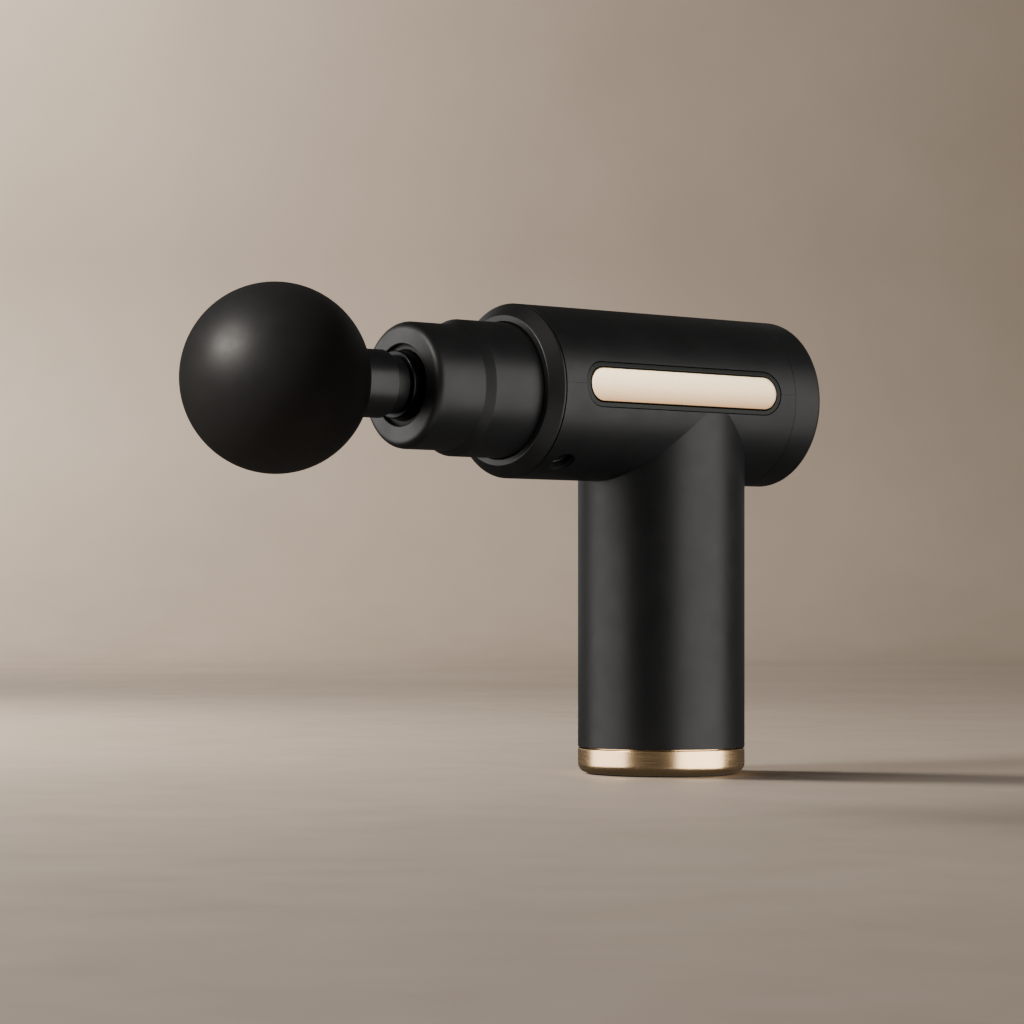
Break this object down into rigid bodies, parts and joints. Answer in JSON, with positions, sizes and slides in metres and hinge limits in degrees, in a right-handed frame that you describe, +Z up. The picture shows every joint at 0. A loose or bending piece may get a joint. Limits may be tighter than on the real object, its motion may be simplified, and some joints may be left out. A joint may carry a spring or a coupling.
{
  "type": "massage gun",
  "caption": "Handheld percussion massage gun: round barrel across an upright handle, stepped nose, pull-off ball head, metal base cap and side trims.",
  "frame": {"origin": "centre of the foot pad's underside, on the handle axis, at the surface that the object stands on", "axes": "+X along the barrel towards the ball head, +Y to the side with the charging socket, +Z up the handle"},
  "size_m": [0.1889, 0.0466, 0.1235],
  "materials": {
    "body_black": "satin moulded ABS, near black",
    "ring_black": "smooth moulded ABS, near black",
    "ball_rubber": "matte black rubber skin",
    "stem_plastic": "smooth black acetal",
    "champagne": "champagne gold anodised, satin",
    "champagne_cast": null,
    "gunmetal": "dark gunmetal anodised, satin",
    "seal_rubber": "black rubber",
    "steel": "ground steel",
    "cast_alloy": "as cast light alloy",
    "anodised_alloy": "black anodised, bright rim",
    "lamination": "stacked electrical steel",
    "copper": null,
    "magnet": null,
    "bush_polymer": "ivory bearing polymer",
    "nylon_frame": "glass-filled nylon, dark grey",
    "grey_plastic": "dark grey moulded plastic",
    "cell_wrap": "blue sleeved cell; aluminium stands for the average density of a cell",
    "circuit_board": "green solder mask",
    "chip": "black moulded package",
    "light_guide": "milky translucent light guide",
    "wire_red": "red insulated wire",
    "wire_black": "black insulated wire"
  },
  "bodies": {
    "housing": {"base_cap": "champagne_cast", "base_screw_1": "steel", "base_screw_2": "steel", "base_screw_3": "steel", "battery_cell_1": "cell_wrap", "battery_cell_2": "cell_wrap", "battery_cell_3": "cell_wrap", "battery_lead_black": "wire_black", "battery_lead_red": "wire_red", "board_screw_1": "steel", "board_screw_2": "steel", "bush_front": "bush_polymer", "bush_rear": "bush_polymer", "button_light_ring": "light_guide", "button_switch": "chip", "capacitor": "anodised_alloy", "cell_spacer_lower": "grey_plastic", "cell_spacer_upper": "grey_plastic", "charge_pin": "steel", "charge_socket": "grey_plastic", "chassis": "nylon_frame", "control_chip": "chip", "dust_seal": "seal_rubber", "foot_pad": "seal_rubber", "front_bezel": "ring_black", "lower_shell": "body_black", "main_board": "circuit_board", "motor_base": "cast_alloy", "motor_bearing_lower": "steel", "motor_bearing_upper": "steel", "motor_screw_1": "steel", "motor_screw_2": "steel", "motor_screw_3": "steel", "nose_cover": "body_black", "nose_damper": "seal_rubber", "rear_cap": "ring_black", "stator_core": "lamination", "stator_winding": "copper", "switch_board": "circuit_board", "trim_frame_left": "gunmetal", "trim_frame_right": "gunmetal", "trim_plate_left": "champagne", "trim_plate_right": "champagne", "upper_shell": "body_black"},
    "crank": {"rotor_bell": "steel", "magnet_ring": "magnet", "motor_shaft": "steel", "crank_disc": "steel", "crank_pin": "steel", "crank_clip": "steel"},
    "crank_roller": {"crank_bearing": "steel"},
    "piston": {"piston_sleeve": "anodised_alloy", "yoke": "cast_alloy", "piston_pin": "steel"},
    "head": {"ball_cover": "ball_rubber", "ball_core": "grey_plastic", "head_stem": "stem_plastic", "stem_o_ring": "seal_rubber"},
    "button": {"power_button": "stem_plastic"}
  },
  "joints": [
    {"name": "crank_turn", "type": "hinge", "parent": "housing", "child": "crank", "pos_m": [0, 0, 0.0959], "axis": [0, 0, 1], "range_deg": [-90, 90]},
    {"name": "crank_roller_spin", "type": "hinge", "parent": "crank", "child": "crank_roller", "pos_m": [0, -0.0035, 0.1002], "axis": [0, 0, 1], "continuous": true},
    {"name": "piston_stroke", "type": "slide", "parent": "housing", "child": "piston", "axis": [1, 0, 0], "range_m": [-0.0035, 0.0035]},
    {"name": "head_pull", "type": "slide", "parent": "piston", "child": "head", "axis": [1, 0, 0], "range_m": [0, 0.03]},
    {"name": "button_press", "type": "slide", "parent": "housing", "child": "button", "axis": [1, 0, 0], "range_m": [0, 0.0005], "stiffness_N_per_m": 800, "springref_m": -0.0005}
  ],
  "couplings": [
    {"joint": "piston_stroke", "follows": "crank_turn", "m_per_rad": 0.002228}
  ]
}
